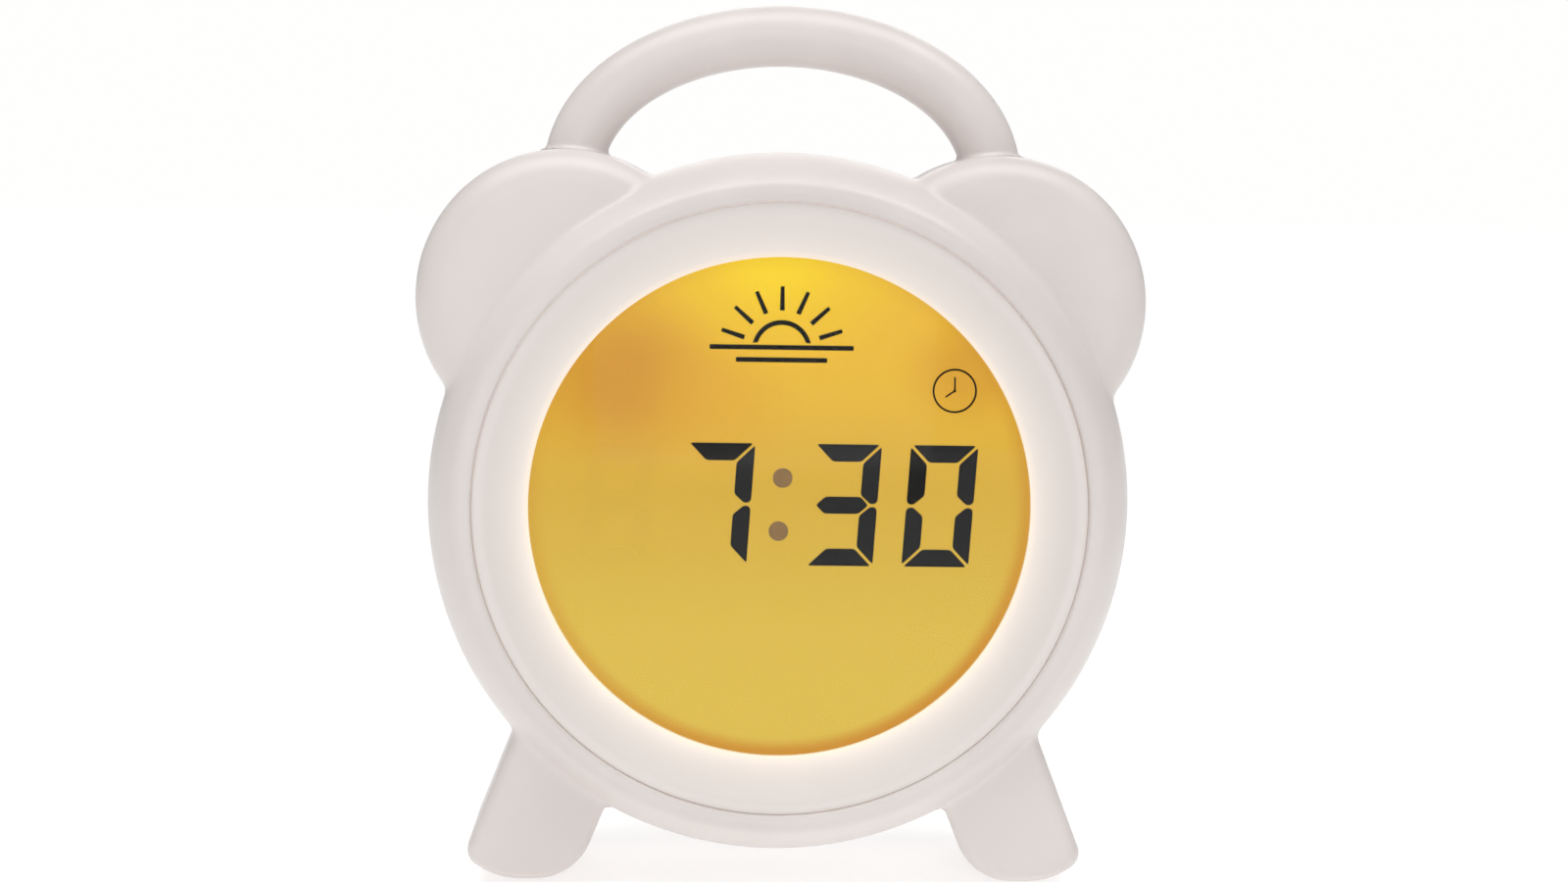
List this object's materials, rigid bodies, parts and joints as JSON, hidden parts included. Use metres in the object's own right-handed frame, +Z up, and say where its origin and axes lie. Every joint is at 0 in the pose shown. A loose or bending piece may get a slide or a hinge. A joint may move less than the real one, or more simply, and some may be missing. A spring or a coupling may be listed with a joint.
{
  "type": "kids alarm clock with night light",
  "caption": "Round children's alarm clock with ears, arched carry handle, two feet, a glowing dish and a backlit digital display; keys, slide switches, battery door and inlet behind.",
  "frame": {"origin": "centre of the footprint on the surface that the clock stands on", "axes": "+X to the right as seen from the front, +Y to the back, +Z up; the display faces -Y"},
  "size_m": [0.153, 0.05, 0.1857],
  "materials": {
    "white_shell": "satin, fine moulded surface",
    "handle_white": "satin",
    "light_ring": "translucent, satin",
    "window": "clear, gloss",
    "lcd_front": "clear, gloss",
    "lcd_rear": "amber, backlit",
    "lcd_ink": "dark, matte",
    "light_guide": "translucent",
    "white_sheet": "matte",
    "amber_led": "translucent",
    "warm_led": "translucent",
    "elastomer": "matte",
    "chassis_white": "matte",
    "circuit_green": "solder mask",
    "chip_black": "matte",
    "steel": "satin",
    "capacitor_sleeve": "gloss",
    "cable_grey": "matte",
    "key_grey": "matte",
    "plunger_red": "matte",
    "switch_black": "matte",
    "brass": "satin",
    "magnet_dark": "matte",
    "cone_paper": "matte",
    "wire_red": "satin",
    "cell_jacket": "gloss",
    "pad_rubber": "matte"
  },
  "bodies": {
    "clock": {"front_shell": "white_shell", "rear_shell": "white_shell", "carry_handle": "handle_white", "light_ring": "light_ring", "display_window": "window", "lcd_front_glass": "lcd_front", "lcd_rear_glass": "lcd_rear", "lcd_segments": "lcd_ink", "backlight_guide": "light_guide", "backlight_reflector": "white_sheet", "backlight_leds": "amber_led", "lcd_connector": "elastomer", "display_chassis": "chassis_white", "main_board": "circuit_green", "controller_chip": "chip_black", "quartz_crystal": "steel", "capacitors": "capacitor_sleeve", "light_board": "white_sheet", "night_light_leds": "warm_led", "ribbon_cable": "cable_grey", "rear_board": "circuit_green", "key_switches": "switch_black", "slide_switches": "steel", "inlet_body": "switch_black", "inlet_pin": "brass", "speaker_frame": "steel", "speaker_magnet": "magnet_dark", "speaker_wires": "wire_red", "battery_1": "cell_jacket", "battery_2": "cell_jacket", "battery_3": "cell_jacket", "battery_springs": "steel", "battery_contacts": "steel", "snooze_board": "circuit_green", "snooze_switch": "switch_black", "case_screws": "steel", "chassis_screws": "steel", "board_screws": "steel", "foot_pads": "pad_rubber"},
    "set_button": {"set_key": "key_grey", "set_plunger": "plunger_red"},
    "hour_button": {"hour_key": "key_grey", "hour_plunger": "plunger_red"},
    "minute_button": {"minute_key": "key_grey", "minute_plunger": "plunger_red"},
    "alarm_button": {"alarm_key": "key_grey", "alarm_plunger": "plunger_red"},
    "sound_button": {"sound_key": "key_grey", "sound_plunger": "plunger_red"},
    "light_button": {"light_key": "key_grey", "light_plunger": "plunger_red"},
    "snooze_button": {"snooze_bar": "white_shell", "snooze_plunger": "plunger_red"},
    "alarm_switch": {"alarm_slider": "key_grey"},
    "volume_switch": {"volume_slider": "key_grey"},
    "door": {"battery_door": "white_shell", "door_screw": "steel"},
    "cone": {"speaker_cone": "cone_paper"}
  },
  "joints": [
    {"name": "set_press", "type": "slide", "parent": "clock", "child": "set_button", "axis": [0, -1, 0], "range_m": [0, 0.0008], "stiffness_N_per_m": 1500},
    {"name": "hour_press", "type": "slide", "parent": "clock", "child": "hour_button", "axis": [0, -1, 0], "range_m": [0, 0.0008], "stiffness_N_per_m": 1500},
    {"name": "minute_press", "type": "slide", "parent": "clock", "child": "minute_button", "axis": [0, -1, 0], "range_m": [0, 0.0008], "stiffness_N_per_m": 1500},
    {"name": "alarm_press", "type": "slide", "parent": "clock", "child": "alarm_button", "axis": [0, -1, 0], "range_m": [0, 0.0008], "stiffness_N_per_m": 1500},
    {"name": "sound_press", "type": "slide", "parent": "clock", "child": "sound_button", "axis": [0, -1, 0], "range_m": [0, 0.0008], "stiffness_N_per_m": 1500},
    {"name": "light_press", "type": "slide", "parent": "clock", "child": "light_button", "axis": [0, -1, 0], "range_m": [0, 0.0008], "stiffness_N_per_m": 1500},
    {"name": "snooze_press", "type": "slide", "parent": "clock", "child": "snooze_button", "axis": [0, 0, -1], "range_m": [0, 0.0012], "stiffness_N_per_m": 1500},
    {"name": "alarm_slide", "type": "slide", "parent": "clock", "child": "alarm_switch", "axis": [0, 0, 1], "range_m": [0, 0.004]},
    {"name": "volume_slide", "type": "slide", "parent": "clock", "child": "volume_switch", "axis": [0, 0, 1], "range_m": [0, 0.004]},
    {"name": "battery_door_hinge", "type": "hinge", "parent": "clock", "child": "door", "pos_m": [0, 0.024, 0.034], "axis": [-1, 0, 0], "range_deg": [0, 75]},
    {"name": "cone_travel", "type": "slide", "parent": "clock", "child": "cone", "axis": [0, 1, 0], "range_m": [-0.0003, 0.0003], "stiffness_N_per_m": 1000}
  ]
}
